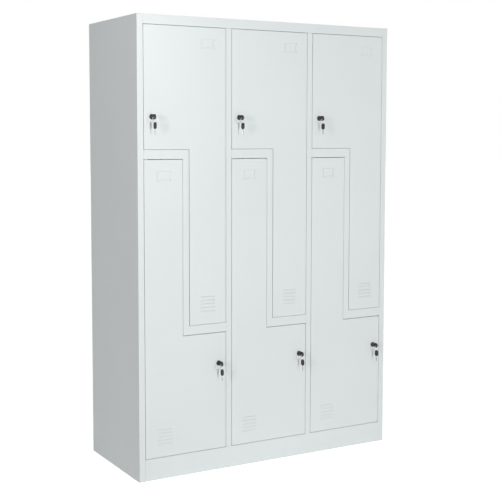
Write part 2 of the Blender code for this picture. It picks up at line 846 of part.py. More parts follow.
def build_doors(finishes, cabinet):
    """Six doors, each with its rod, lock, key, ring and spare key."""
    paint, black, chrome, steel, plastic = finishes
    body_mesh = lock_body()
    cam_mesh = lock_cam()
    key_mesh = key()
    ring_mesh = wire_ring("key_ring", RING_RADIUS, RING_WIRE_RADIUS)
    for is_upper, level in ((True, "upper"), (False, "lower")):
        side = 1 if is_upper else -1
        lock_z = lock_height(is_upper)
        door_mesh = moved(door_panel(is_upper), side * HINGE_X, HINGE_SETBACK, 0)
        rod_mesh = hinge_rod(is_upper)
        for column, side_name in enumerate(COLUMN_NAMES):
            tag = f"{level}_{side_name}"
            hinge = (column_x(column) + side * HINGE_X, FRONT_Y + HINGE_SETBACK, 0)
            lock_x = column_x(column) - side * LOCK_X
            lock = (lock_x, FRONT_Y, lock_z)
            hole = (lock_x, FRONT_Y - HOLE_TO_DOOR, lock_z)
            ring_middle = (lock_x, hole[1], lock_z - RING_DROP)
            spare_hole = (lock_x, hole[1], lock_z - 2 * RING_DROP)
            piece(f"hinge_rod_{tag}", rod_mesh, steel, hinge, cabinet)
            door = piece(f"door_panel_{tag}", door_mesh, paint, hinge, cabinet)
            piece(f"lock_body_{tag}", body_mesh, black, lock, door)
            cam = piece(f"lock_cam_{tag}", cam_mesh, chrome, lock, door)
            key_piece = piece(f"key_{tag}", key_mesh, plastic, hole, cam)
            swing = pivot(f"ring_pivot_{tag}", hole, key_piece)
            piece(f"key_ring_{tag}", ring_mesh, steel, ring_middle, swing)
            hang = pivot(f"spare_pivot_{tag}", ring_middle, swing)
            spare = piece(f"spare_key_{tag}", key_mesh, plastic, spare_hole, hang)
            spare.rotation_euler = (-math.pi / 2, 0, 0)


def main():
    clear_scene()
    paint = finish("grey_white_paint", (0.72, 0.76, 0.76), 0.42, 0)
    black = finish("black_lacquer", (0.025, 0.026, 0.027), 0.3, 0)
    chrome = finish("chrome", (0.8, 0.8, 0.8), 0.12, 1)
    steel = finish("bright_steel", (0.6, 0.6, 0.6), 0.3, 1)
    plastic = finish("black_plastic", (0.02, 0.02, 0.02), 0.45, 0)
    cabinet = piece_holder("cabinet")
    build_body(paint, steel, cabinet)
    build_doors((paint, black, chrome, steel, plastic), cabinet)


main()
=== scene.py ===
"""Dresses the steel clothes locker: folded and painted sheets, doors with pressed card holders and
louvres, cam locks, keys on split rings, rods, rails, and a plain studio round them.

Lengths are in metres. The front looks along -Y. A flat shape on the front is drawn as (x, z) points,
anticlockwise as seen from the front, and its depth is measured back from the front plane.
"""

import json
import math

import bmesh
import bpy
from bpy.props import FloatProperty, FloatVectorProperty, IntProperty, PointerProperty
from mathutils import Matrix, Vector


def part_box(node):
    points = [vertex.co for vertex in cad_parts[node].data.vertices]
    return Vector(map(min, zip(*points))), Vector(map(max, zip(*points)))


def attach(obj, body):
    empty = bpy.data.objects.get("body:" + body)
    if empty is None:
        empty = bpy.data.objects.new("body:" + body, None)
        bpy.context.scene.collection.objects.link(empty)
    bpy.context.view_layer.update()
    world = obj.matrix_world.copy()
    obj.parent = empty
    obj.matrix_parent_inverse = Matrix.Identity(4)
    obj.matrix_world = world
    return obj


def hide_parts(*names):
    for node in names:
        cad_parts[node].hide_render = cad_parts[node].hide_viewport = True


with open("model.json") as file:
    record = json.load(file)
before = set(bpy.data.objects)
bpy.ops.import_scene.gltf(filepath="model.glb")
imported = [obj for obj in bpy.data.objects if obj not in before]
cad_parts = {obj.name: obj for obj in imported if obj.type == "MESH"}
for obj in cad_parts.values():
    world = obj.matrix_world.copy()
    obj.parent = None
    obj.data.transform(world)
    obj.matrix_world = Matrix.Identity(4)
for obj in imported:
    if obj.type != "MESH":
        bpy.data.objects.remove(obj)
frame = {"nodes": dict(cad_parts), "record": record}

bl_info = {
    "name": "Z-door locker",
    "version": (1, 0, 0),
    "blender": (4, 5, 0),
    "location": "View3D > Sidebar > Locker",
    "description": "Builds the finished sheets, doors, locks, keys and studio of a steel locker",
    "category": "Add Mesh",
}

for startup in ("Cube", "Light", "Camera"):
    if startup in bpy.data.objects:
        bpy.data.objects.remove(bpy.data.objects[startup])
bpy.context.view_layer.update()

# Places that the frame gives
SIDES = ("left", "middle", "right")
TAGS = [f"{level}_{side}" for level in ("upper", "lower") for side in SIDES]
BODY_OF = {node: body for body, nodes in frame["record"]["behaviour"]["bodies"].items() for node in nodes}
SHEETS = ["side_panel_left", "side_panel_right", "top_panel", "plinth", "floor_panel", "back_panel"]
SHEETS += [f"column_divider_{side}" for side in SIDES[:-1]] + [f"z_partition_{side}" for side in SIDES]
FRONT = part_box("plinth")[0].y
OPENING_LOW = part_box("plinth")[1].z
OPENING_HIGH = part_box("door_panel_upper_left")[1].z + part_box("door_panel_lower_left")[0].z - OPENING_LOW
DOOR_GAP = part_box("door_panel_lower_left")[0].z - OPENING_LOW
DOOR_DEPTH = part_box("door_panel_lower_left")[1].y - FRONT
LOWER_BAND = (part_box("z_partition_left")[0].z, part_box("door_panel_upper_left")[0].z - DOOR_GAP)
UPPER_BAND = (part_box("door_panel_lower_left")[1].z + DOOR_GAP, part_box("z_partition_left")[1].z)
UPRIGHTS = [tuple(corner.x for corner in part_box(f"column_divider_{side}")) for side in SIDES[:-1]]

# Drawing accuracy
MERGE = 0.00001
NEARLY = 0.0002
BROAD = 0.0025
FLAT = math.radians(0.5)
SHARP = math.radians(32)
SQUARE_WITHIN = math.radians(8)
QUARTER = math.pi / 2
ARC_STEPS = 5
ROUND_SIDES = 48
SMALL_SIDES = 24
MARK_SIDES = 16
WIRE_SIDES = 10
TURN_STEPS = 40

# Each lamp's side length and the point that it is aimed at
LAMPS = {"key": (0.2, (0, 0, 0.9)), "corner": (0.5, (-0.7, 0, 1.7)), "side": (0.85, (0, -0.2, 1.0))}
FLOOR_REACH = 30
FLOOR_GREY = (0.9, 0.9, 0.9)


def size(name, description, default, unit="LENGTH"):
    return FloatProperty(name=name, description=description, default=default, unit=unit)


def colour(name, description, default):
    return FloatVectorProperty(name=name, description=description, default=default, subtype="COLOR")


def place(name, description, default):
    return FloatVectorProperty(name=name, description=description, default=default, subtype="XYZ")


class SheetSizes(bpy.types.PropertyGroup):
    """Sizes of the folded frame and of the door pans."""

    bend: size("Bend", "Outer radius of a fold", 0.0016)
    butt_bend: size("Butt bend", "Outer radius where members of the frame meet", 0.0006)
    frame_sheet: size("Frame sheet", "Thickness of the frame's sheet", 0.0012)
    door_sheet: size("Door sheet", "Thickness of a door's sheet", 0.001)
    door_lip: size("Door lip", "Lip folded in behind a door", 0.012)
    door_corner: size("Door corner", "Radius of a door's outer corners", 0.0015)
    stile: size("Stile", "Face of the upright between two doors", 0.027)
    step_across: size("Step across", "How far the stepped edges lie right of even gaps", 0.0008)
    step_down: size("Step down", "How far the stepped edges lie below even gaps", 0.0006)
    hinge_inset: size("Hinge inset", "From a door's edge to its rod", 0.01)
    hinge_setback: size("Hinge setback", "From the front plane to a rod", 0.005)
    rod_hole: size("Rod hole", "Radius of a rod's hole", 0.0029)
    weld_radius: size("Weld mark", "Radius of a spot weld's mark", 0.003)
    weld_pitch: size("Weld pitch", "Distance between spot welds", 0.078)
    weld_margin: size("Weld margin", "From a sheet's end to its first spot weld", 0.01)
    weld_drop: size("Weld drop", "From a shelf's top to its spot welds", 0.0075)


class PressSizes(bpy.types.PropertyGroup):
    """Sizes of what is pressed and cut into a door."""

    card_width: size("Card width", "Card holder's width", 0.062)
    card_height: size("Card height", "Card holder's height", 0.039)
    card_drop: size("Card drop", "From a door's top to its card holder", 0.047)
    card_waist: size("Card waist", "How far its sides are drawn in", 0.006)
    card_tab: size("Card tab", "Height of its corner tabs", 0.009)
    card_arch: size("Card arch", "Rise of its lower edge", 0.0075)
    card_corner: size("Card corner", "Radius of its corners", 0.002)
    card_lip: size("Card lip", "Radius of its rolled edge", 0.0012)
    card_groove: size("Card groove", "Width of the groove round it", 0.0012)
    card_depth: size("Card depth", "Depth of the groove", 0.0026)
    card_panel: size("Card panel", "Depth of its panel", 0.0008)
    lock_hole: size("Lock hole", "Radius of a lock's hole", 0.0093)
    louvres: IntProperty(name="Louvres", description="Louvres in each door", default=5)
    louvre_pitch: size("Louvre pitch", "Distance between louvres", 0.0145)
    louvre_width: size("Louvre width", "Length of a louvre", 0.068)
    louvre_height: size("Louvre height", "Height of a louvre's tongue", 0.008)
    louvre_push: size("Louvre push", "How far the tongue is pressed in", 0.0029)
    louvre_corner: size("Louvre corner", "Radius of the tongue's free corners", 0.006)
    louvre_play: size("Louvre play", "Gap at each end of the tongue", 0.0004)
    louvre_low: size("Lowest louvre", "From a door's bottom to its first louvre", 0.0475)


class LockSizes(bpy.types.PropertyGroup):
    """Sizes of a cam lock, measured back from the front plane."""

    bezel_radius: size("Bezel", "Radius of the bezel", 0.0105)
    bezel_height: size("Bezel height", "How far the bezel stands out", 0.004)
    bezel_round: size("Bezel edge", "Radius of the bezel's front edge", 0.0012)
    seat: size("Seat", "Gap under the bezel and the nut", 0.0003)
    barrel_radius: size("Barrel", "Radius over the barrel's thread", 0.009)
    bore_radius: size("Bore", "Radius of the barrel's bore", 0.007)
    plug_radius: size("Plug", "Radius of the turning plug", 0.0066)
    keyway_play: size("Keyway play", "Gap between the keyway and the key", 0.00035)
    keyway_corner: size("Keyway corner", "Radius of the keyway's corners", 0.0003)
    keyway_flare: size("Keyway flare", "Chamfer at the keyway's mouth", 0.0002)
    thread_pitch: size("Thread pitch", "Pitch of the thread", 0.001)
    nut_radius: size("Nut", "Radius over the nut's corners", 0.0125)
    nut_thick: size("Nut thickness", "Thickness of the nut", 0.004)
    nut_play: size("Nut play", "Gap between the nut and the thread", 0.00005)
    cam_front: size("Cam", "Depth of the cam's front", 0.0215)
    cam_sheet: size("Cam sheet", "Thickness of the cam", 0.0025)
    cam_width: size("Cam width", "Width of the cam", 0.014)
    cam_length: size("Cam length", "From the axis to its end", 0.044)
    cam_hub: size("Cam hub", "Radius round the screw", 0.0085)
    cam_corner: size("Cam corner", "Radius of the cam's corners", 0.002)
    screw_radius: size("Screw", "Radius of the screw head", 0.0045)
    screw_height: size("Screw height", "Height of the screw head", 0.003)
    edge: size("Edge", "Rounding of the plug, the nut and the cam", 0.0004)


class KeySizes(bpy.types.PropertyGroup):
    """Sizes of a key, measured from the hole in its bow, and of its split ring."""

    hole_to_door: size("Hole to door", "From the bow's hole to the door", 0.031)
    bow_length: size("Bow length", "Length of the bow", 0.026)
    bow_width: size("Bow width", "Width of the bow", 0.02)
    bow_thick: size("Bow thickness", "Thickness of the bow", 0.006)
    bow_corner: size("Bow corner", "Radius of its corners", 0.009)
    bow_edge: size("Bow edge", "Rounding of its edges", 0.0013)
    bow_hole: size("Bow hole", "Radius of its hole", 0.0028)
    hole_inset: size("Hole inset", "From its end to its hole", 0.0045)
    pocket_wall: size("Pocket wall", "Between its pocket and its edge", 0.0032)
    pocket_clear: size("Pocket clear", "Between its pocket and its hole", 0.0062)
    pocket_corner: size("Pocket corner", "Radius of the pocket's corners", 0.003)
    pocket_depth: size("Pocket depth", "Depth of the pocket", 0.0005)
    blade_width: size("Blade width", "Width of the blade", 0.007)
    blade_thick: size("Blade thickness", "Thickness of the blade", 0.002)
    blade_edge: size("Blade edge", "Rounding of the blade's edges", 0.00015)
    blade_in_bow: size("Blade in bow", "How far the bow holds it", 0.004)
    blade_reach: size("Blade reach", "How far it goes into the lock", 0.0125)
    blade_point: size("Blade point", "Length of its point", 0.0025)
    groove_low: size("Groove low", "From its middle to the groove's lower side", 0.0004)
    groove_high: size("Groove high", "From its middle to the groove's upper side", 0.0018)
    groove_depth: size("Groove depth", "Depth of the groove", 0.0002)
    notches: IntProperty(name="Notches", description="Cuts along the blade", default=4)
    notch_pitch: size("Notch pitch", "Distance between cuts", 0.0026)
    notch_depth: size("Notch depth", "Depth of a cut", 0.0016)
    wire_radius: size("Ring wire", "Radius of the ring's wire", 0.0007)
    ring_turns: size("Ring turns", "Turns of wire in a split ring", 1.9, "NONE")


class BarSizes(bpy.types.PropertyGroup):
    """Sizes of the round bars."""

    rail_radius: size("Rail", "Radius of a coat rail", 0.0075)
    flange_thick: size("Flange", "Thickness of a rail's flange", 0.003)
    edge: size("Edge", "Rounding of turned edges", 0.0007)


class Finishes(bpy.types.PropertyGroup):
    """Colours of the finishes."""

    paint: colour("Paint", "Light grey powder coat", (0.755, 0.8, 0.799))
    lacquer: colour("Lacquer", "Black lacquer of the lock's bezel", (0.014, 0.014, 0.015))
    plastic: colour("Plastic", "Black plastic of a key's bow", (0.012, 0.012, 0.013))
    steel: colour("Steel", "Drawn steel", (0.56, 0.57, 0.58))
    plug: colour("Plug", "Blackened steel of a lock's plug", (0.16, 0.16, 0.165))
    zinc: colour("Zinc", "Zinc plating", (0.55, 0.57, 0.6))


class StudioSizes(bpy.types.PropertyGroup):
    """The camera and the light of the photograph."""

    camera_place: place("Camera", "Where the camera stands", (-2.2702, -4.0185, 1.3927))
    yaw: size("Yaw", "Turn of the view from +Y to +X", 0.521, "ROTATION")
    pitch: size("Pitch", "Tilt of the view downwards", 0.0824, "ROTATION")
    roll: size("Roll", "Roll of the camera", 0.0018, "ROTATION")
    lens: size("Lens", "Focal length in millimetres", 76.21, "CAMERA")
    shift: size("Shift", "Upright shift of the lens", -0.06, "NONE")
    world_level: size("Room", "Strength of the even light", 0.2, "NONE")
    key_power: size("Key light", "Power of the main lamp in watts", 158, "POWER")
    key_place: place("Key place", "Where the main lamp hangs", (0.3, -6.2, 1.2))
    corner_power: size("Corner light", "Power of the near lamp in watts", 0.64, "POWER")
    corner_place: place("Corner place", "Where the near lamp hangs", (-0.72, -0.75, 1.86))
    side_power: size("Side light", "Power of the side lamp in watts", 128, "POWER")
    side_place: place("Side place", "Where the side lamp hangs", (-6.74, -3.63, 2.03))
    floor_glow: size("Floor glow", "Light that only the camera sees on the floor", 0.72, "NONE")


# Outlines and meshes


def corner_turn(path, i):
    """A corner of a closed path as (place, direction before, direction after)."""
    corner = Vector(path[i])
    before = (corner - Vector(path[i - 1])).normalized()
    return corner, before, (Vector(path[(i + 1) % len(path)]) - corner).normalized()


def rounded(path, convex, concave, steps=ARC_STEPS):
    """A closed path with an arc at each corner."""
    points = []
    for i in range(len(path)):
        corner, before, after = corner_turn(path, i)
        turn = math.atan2(before.cross(after), before.dot(after))
        radius = convex if turn > 0 else concave
        start = corner - before * radius * math.tan(abs(turn) / 2)
        spoke = Vector((before.y, -before.x)) * math.copysign(radius, turn)
        for k in range(steps + 1):
            points.append(start - spoke + Matrix.Rotation(turn * k / steps, 2) @ spoke)
    return points


def inset(path, distance):
    """A closed anticlockwise path moved inwards, or outwards by a negative distance."""
    moved = []
    for i in range(len(path)):
        corner, before, after = corner_turn(path, i)
        left = Vector((-before.y - after.y, before.x + after.x))
        moved.append(corner + left * distance / (1 + before.dot(after)))
    return moved


def circle(radius, sides, middle=(0, 0)):
    angles = [math.tau * k / sides for k in range(sides)]
    return [Vector((middle[0] + radius * math.cos(a), middle[1] + radius * math.sin(a))) for a in angles]


def rectangle(low, high):
    return [(low[0], low[1]), (high[0], low[1]), (high[0], high[1]), (low[0], high[1])]


def row(model, points, position, along="Y"):
    """Corners at one position along an axis, from points in the two other axes."""
    if along == "Y":
        return [model.verts.new((u, position, v)) for u, v in points]
    if along == "X":
        return [model.verts.new((position, u, v)) for u, v in points]
    return [model.verts.new((u, v, position)) for u, v in points]


def skin(model, rows, closed=True):
    """Faces between rows, which run from the back to the front or from the outside to the inside."""
    for near, far in zip(rows, rows[1:]):
        for i in range(len(near) if closed else len(near) - 1):
            j = (i + 1) % len(near)
            model.faces.new((near[i], near[j], far[j], far[i]))


def capped(model, rows):
    """Faces between rows, and over the first and the last."""
    skin(model, rows)
    model.faces.new(rows[0])
    model.faces.new(rows[-1])


def fill(model, *loops):
    """Faces over the flat area inside the first loop and outside the others, as few as can be."""
    edges = []
    for loop in loops:
        for i, corner in enumerate(loop):
            pair = (loop[i - 1], corner)
            edges.append(model.edges.get(pair) or model.edges.new(pair))
    made = bmesh.ops.triangle_fill(model, use_beauty=True, edges=edges)
    faces = [item for item in made["geom"] if isinstance(item, bmesh.types.BMFace)]
    held = set(faces)
    # a dict keeps the edges in order, so that each run merges the same ones
    inner = dict.fromkeys(edge for face in faces for edge in face.edges if held.issuperset(edge.link_faces))
    bmesh.ops.dissolve_limit(model, angle_limit=FLAT, verts=[], edges=list(inner))


def edge_steps(radius):
    """(inset, depth) pairs of a quarter round, from the side of an edge to its face."""
    angles = [QUARTER * k / ARC_STEPS for k in range(ARC_STEPS + 1)]
    return [(radius * (1 - math.cos(a)), radius * (1 - math.sin(a))) for a in angles]


def wall_steps(low, high, radius):
    """(inset, position) pairs of a wall from low to high with both its edges rounded."""
    steps = edge_steps(radius)
    start = [(back, low + rise) for back, rise in reversed(steps)]
    return start + [(back, high - rise) for back, rise in steps]


def plain_mesh(name, model):
    mesh = bpy.data.meshes.new(name)
    model.to_mesh(mesh)
    model.free()
    return mesh


def closed_mesh(name, model):
    """The mesh of a closed solid, with its faces turned to point out."""
    bmesh.ops.remove_doubles(model, verts=model.verts, dist=MERGE / 10)
    bmesh.ops.recalc_face_normals(model, faces=model.faces)
    return plain_mesh(name, model)


def link_new(name, data):
    """A new object in the scene."""
    made = bpy.data.objects.new(name, data)
    bpy.context.scene.collection.objects.link(made)
    return made


def evaluated_mesh(holder, name):
    """A plain mesh with an object's modifiers applied, in place of the object and its mesh."""
    old = holder.data
    graph = bpy.context.evaluated_depsgraph_get()
    result = bpy.data.meshes.new_from_object(holder.evaluated_get(graph))
    bpy.data.objects.remove(holder)
    bpy.data.meshes.remove(old)
    result.name = name
    return result


def after_modifier(mesh, kind, **settings):
    """A mesh in place of this one, once a modifier with these settings has changed it."""
    holder = link_new(mesh.name, mesh)
    modifier = holder.modifiers.new(kind, kind)
    for key, value in settings.items():
        setattr(modifier, key, value)
    return evaluated_mesh(holder, mesh.name)


def thickened(mesh, thickness):
    return after_modifier(
        mesh, "SOLIDIFY", thickness=thickness, offset=-1, use_even_offset=True, use_quality_normals=True
    )


def cut(mesh, cutter):
    """The mesh with another mesh cut out of it."""
    tool = link_new("cutter", cutter)
    result = after_modifier(mesh, "BOOLEAN", operation="DIFFERENCE", solver="EXACT", object=tool)
    bpy.data.objects.remove(tool)
    bpy.data.meshes.remove(cutter)
    return result


def shaded(mesh, splits=()):
    """The mesh with soft folds and flat faces between them, and sharp edges in planes across an axis."""
    mesh.shade_smooth()
    mesh.set_sharp_from_angle(angle=SHARP)
    for edge in mesh.edges:
        ends = [mesh.vertices[index].co for index in edge.vertices]
        if any(all(abs(end[axis] - position) < MERGE for end in ends) for axis, position in splits):
            edge.use_edge_sharp = True
    return after_modifier(mesh, "WEIGHTED_NORMAL", keep_sharp=True, weight=100)


def turned(name, profile, along="Y", ring=False):
    """A turned solid from (radius, position) points. A ring's profile goes round its section."""
    model = bmesh.new()
    rows = [row(model, circle(radius, ROUND_SIDES), position, along) for radius, position in profile]
    if ring:
        skin(model, rows + rows[:1])
    else:
        capped(model, rows)
    return shaded(closed_mesh(name, model))


def plate(name, outline, low, high, along, edge, holes=(), pockets=()):
    """A flat plate with rounded edges, with holes through it and pockets in both its sides."""
    model = bmesh.new()
    rims = {low: [], high: []}
    for loop, way in [(outline, 1)] + [(hole, -1) for hole in holes]:
        rows = [row(model, inset(loop, way * back), at, along) for back, at in wall_steps(low, high, edge)]
        skin(model, rows)
        rims[low].append(rows[0])
        rims[high].append(rows[-1])
    for loop, depth in pockets:
        for face, into in ((low, depth), (high, -depth)):
            steps = [(0, 0), (depth / 2, into / 2), (depth, into), (2 * depth, into)]
            rows = [row(model, inset(loop, back), face + rise, along) for back, rise in steps]
            skin(model, rows)
            fill(model, rows[-1])
            rims[face].append(rows[0])
    for loops in rims.values():
        fill(model, *loops)
    return shaded(closed_mesh(name, model))


def socketed(name, radius, start, end, edge, walls):
    """A round stud that ends in a rounded edge, with a socket let into it by (loop, position) walls."""
    way = math.copysign(1, start - end)
    model = bmesh.new()
    steps = [(0, start)] + [(back, end + way * rise) for back, rise in edge_steps(edge)]
    rows = [row(model, circle(radius - back, ROUND_SIDES), position) for back, position in steps]
    skin(model, rows)
    model.faces.new(rows[0])
    socket = [row(model, loop, position) for loop, position in walls]
    skin(model, socket)
    fill(model, socket[-1])
    fill(model, rows[-1], socket[0])
    return shaded(closed_mesh(name, model))


def add_piece(name, mesh, material, node, shift=None, replaces=True):
    """An object at the origin that rides on a node's body. A shift gives it a moved copy of the mesh."""
    if shift is not None:
        mesh = mesh.copy()
        mesh.transform(shift)
    mesh.materials.clear()
    mesh.materials.append(material)
    piece = link_new(name, mesh)
    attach(piece, BODY_OF[node])
    if replaces:
        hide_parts(node)


# Repeated and wound pieces


def new_tree(name, **inputs):
    """A node group with a geometry output, and inputs given as name=kind of socket."""
    tree = bpy.data.node_groups.new(name, "GeometryNodeTree")
    for label, kind in inputs.items():
        tree.interface.new_socket(label, in_out="INPUT", socket_type=f"NodeSocket{kind}")
    tree.interface.new_socket("Geometry", in_out="OUTPUT", socket_type="NodeSocketGeometry")
    return tree, tree.nodes.new("NodeGroupInput")


def join(tree, *links):
    """Links between nodes, each given as (node, its output, next node, its input)."""
    for source, output, target, entry in links:
        tree.links.new(source.outputs[output], target.inputs[entry])


def finish_tree(tree, given, last, output):
    """Makes the last node's output plain geometry with the finish that the group is given."""
    realize = tree.nodes.new("GeometryNodeRealizeInstances")
    painted = tree.nodes.new("GeometryNodeSetMaterial")
    join(
        tree,
        (last, output, realize, "Geometry"),
        (realize, "Geometry", painted, "Geometry"),
        (given, "Finish", painted, "Material"),
        (painted, "Geometry", tree.nodes.new("NodeGroupOutput"), "Geometry"),
    )
    return tree


def row_tree():
    """Copies of a mesh in a straight row."""
    tree, given = new_tree(
        "row_of_copies", Geometry="Geometry", Count="Int", Step="Vector", Finish="Material"
    )
    line = tree.nodes.new("GeometryNodeMeshLine")
    line.mode = "OFFSET"
    copies = tree.nodes.new("GeometryNodeInstanceOnPoints")
    join(
        tree,
        (given, "Count", line, "Count"),
        (given, "Step", line, "Offset"),
        (line, "Mesh", copies, "Points"),
        (given, "Geometry", copies, "Instance"),
    )
    return finish_tree(tree, given, copies, "Instances")


def ring_tree():
    """Round wire wound in flat turns about the Y axis."""
    tree, given = new_tree(
        "wound_ring", Turns="Float", Radius="Float", Rise="Float", Wire="Float", Finish="Material"
    )
    spiral = tree.nodes.new("GeometryNodeCurveSpiral")
    section = tree.nodes.new("GeometryNodeCurvePrimitiveCircle")
    sweep = tree.nodes.new("GeometryNodeCurveToMesh")
    turn = tree.nodes.new("GeometryNodeTransform")
    spiral.inputs["Resolution"].default_value = TURN_STEPS
    section.inputs["Resolution"].default_value = WIRE_SIDES
    sweep.inputs["Fill Caps"].default_value = True
    turn.inputs["Rotation"].default_value = (QUARTER, 0, 0)
    join(
        tree,
        (given, "Turns", spiral, "Rotations"),
        (given, "Radius", spiral, "Start Radius"),
        (given, "Radius", spiral, "End Radius"),
        (given, "Rise", spiral, "Height"),
        (given, "Wire", section, "Radius"),
        (spiral, "Curve", sweep, "Curve"),
        (section, "Curve", sweep, "Profile Curve"),
        (sweep, "Mesh", turn, "Geometry"),
    )
    return finish_tree(tree, given, turn, "Geometry")


def grown(name, mesh, tree, **values):
    """The plain mesh that a node group makes of this one, with its inputs set by name."""
    holder = link_new(name, mesh)
    nodes = holder.modifiers.new(tree.name, "NODES")
    nodes.node_group = tree
    for item in tree.interface.items_tree:
        if item.in_out == "INPUT" and item.name in values:
            nodes[item.identifier] = values[item.name]
    return evaluated_mesh(holder, name)


# Materials


def new_material(name, colour, roughness, metallic):
    material = bpy.data.materials.new(name)
    material.use_nodes = True
    shader = material.node_tree.nodes["Principled BSDF"]
    shader.inputs["Base Color"].default_value = (*colour, 1)
    shader.inputs["Roughness"].default_value = roughness
    shader.inputs["Metallic"].default_value = metallic
    return material, material.node_tree, shader


def noise(tree, scale, detail, stretch=(1, 1, 1)):
    """Noise on Object coordinates."""
    mapping = tree.nodes.new("ShaderNodeMapping")
    mapping.inputs["Scale"].default_value = stretch
    texture = tree.nodes.new("ShaderNodeTexNoise")
    texture.inputs["Scale"].default_value = scale
    texture.inputs["Detail"].default_value = detail
    join(
        tree,
        (tree.nodes.new("ShaderNodeTexCoord"), "Object", mapping, "Vector"),
        (mapping, "Vector", texture, "Vector"),
    )
    return texture


def mapped(tree, source, output, low, high, start=0.0, end=1.0):
    """A node that maps a value from one range to another."""
    node = tree.nodes.new("ShaderNodeMapRange")
    for name, number in (("From Min", start), ("From Max", end), ("To Min", low), ("To Max", high)):
        node.inputs[name].default_value = number
    join(tree, (source, output, node, "Value"))
    return node


def clouded(tree, scale, detail, low, high, stretch=(1, 1, 1)):
    """Noise spread over a range."""
    return mapped(tree, noise(tree, scale, detail, stretch), "Fac", low, high, 0.3, 0.7)


def tinted(tree, shader, colour, factor):
    """Base colour times a factor that changes over the surface."""
    tint = tree.nodes.new("ShaderNodeVectorMath")
    tint.operation = "SCALE"
    tint.inputs[0].default_value = colour
    join(tree, (factor, "Result", tint, "Scale"), (tint, "Vector", shader, "Base Color"))


def finish(name, colour, metallic, tint, gloss, grain, stretch=(1, 1, 1)):
    """A finish whose tint, gloss and bumps each follow a noise, drawn out where it is stretched.

    tint and gloss are (scale, detail, lowest, highest), grain is (scale, detail, strength, depth).
    """
    material, tree, shader = new_material(name, colour, sum(gloss[2:]) / 2, metallic)
    tinted(tree, shader, colour, clouded(tree, *tint, stretch))
    bump = tree.nodes.new("ShaderNodeBump")
    bump.inputs["Strength"].default_value, bump.inputs["Distance"].default_value = grain[2:]
    join(
        tree,
        (clouded(tree, *gloss, stretch), "Result", shader, "Roughness"),
        (noise(tree, *grain[:2], stretch), "Fac", bump, "Height"),
        (bump, "Normal", shader, "Normal"),
    )
    return material


def powder_coat(name, colour):
    """Baked powder coat: a fine orange peel under an even satin sheen."""
    return finish(name, colour, 0, (2.3, 2, 0.985, 1.012), (55, 2, 0.42, 0.5), (330, 1, 0.05, 0.0004))


def black_lacquer(name, colour):
    return finish(name, colour, 0, (300, 2, 0.85, 1.25), (600, 2, 0.26, 0.36), (1600, 1, 0.08, 0.0001))


def moulded_plastic(name, colour):
    """Black plastic with the fine grain of its mould."""
    return finish(name, colour, 0, (220, 2, 0.85, 1.3), (500, 2, 0.4, 0.52), (2400, 2, 0.15, 0.0001))


def drawn_steel(name, colour, roughness, stretch):
    """Bright steel with fine lines along its length."""
    gloss = (900, 3, roughness - 0.05, roughness + 0.07)
    return finish(name, colour, 1, (60, 3, 0.93, 1.05), gloss, (900, 3, 0.1, 0.00005), stretch)


def plated(name, colour, low, high):
    """Plated metal with faint clouds in its gloss."""
    return finish(name, colour, 1, (240, 2, 0.95, 1.04), (420, 3, low, high), (1800, 1, 0.04, 0.00005))


# Frame


def frame_mesh(name):
    """A sheet of the frame as one merged mesh, cut into flat faces."""
    model = bmesh.new()
    model.from_mesh(frame["nodes"][name].data)
    bmesh.ops.remove_doubles(model, verts=model.verts, dist=MERGE)
    bmesh.ops.dissolve_limit(model, angle_limit=FLAT, verts=model.verts, edges=model.edges)
    return model


def slice_at(model, planes):
    """Cuts the faces of the mesh along planes, given as (axis, position), so that a fold can end there."""
    for axis, position in planes:
        normal = Vector()
        normal[axis] = 1
        everything = list(model.verts) + list(model.edges) + list(model.faces)
        point = normal * position
        bmesh.ops.bisect_plane(model, geom=everything, dist=MERGE, plane_co=point, plane_no=normal)


def is_broad(face):
    return 2 * face.calc_area() / face.calc_perimeter() > BROAD


def folds(model, sign):
    """Square edges between two broad faces: outside ones for sign 1, inside ones for sign -1."""
    found = []
    for edge in model.edges:
        if len(edge.link_faces) != 2 or not all(is_broad(face) for face in edge.link_faces):
            continue
        if abs(sign * edge.calc_face_angle_signed() - QUARTER) < SQUARE_WITHIN:
            found.append(edge)
    return found


def butts(edge):
    """Whether an edge lies where one member of the front frame meets the end of another."""
    first, last = (vert.co for vert in edge.verts)
    middle = (first + last) / 2
    if abs(middle.y - FRONT) > MERGE:
        return False
    if abs(first.z - last.z) <= MERGE:
        at_end = min(abs(middle.z - OPENING_HIGH), abs(middle.z - OPENING_LOW)) < NEARLY
        return at_end and any(low < middle.x < high for low, high in UPRIGHTS)
    for side in SIDES:
        low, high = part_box(f"door_panel_upper_{side}")
        for x, band in ((low.x - DOOR_GAP, UPPER_BAND), (high.x + DOOR_GAP, LOWER_BAND)):
            if abs(middle.x - x) < NEARLY and band[0] < middle.z < band[1]:
                return True
    inner = abs(middle.x) < high.x + 2 * DOOR_GAP
    return inner and not OPENING_LOW < middle.z < OPENING_HIGH


def bend(model, edges, radius):
    bmesh.ops.bevel(
        model, geom=edges, offset=radius, segments=ARC_STEPS, profile=0.5, affect="EDGES", clamp_overlap=True
    )


def fold_ends(name, reach):
    """Planes across a sheet of the frame where a fold ends, and beside each one to its butt's side."""
    levels = [(OPENING_LOW, -reach), (OPENING_HIGH, reach)]
    for low, high in (LOWER_BAND, UPPER_BAND):
        levels += [(low, reach), (high, -reach)]
    planes = []
    if name.startswith(("side", "column")):
        planes = [(2, position + step) for position, beside in levels for step in (0, beside)]
    elif name in ("top_panel", "plinth"):
        for low, high in UPRIGHTS:
            planes += [(0, position) for position in (low, low + reach, high - reach, high)]
    return planes


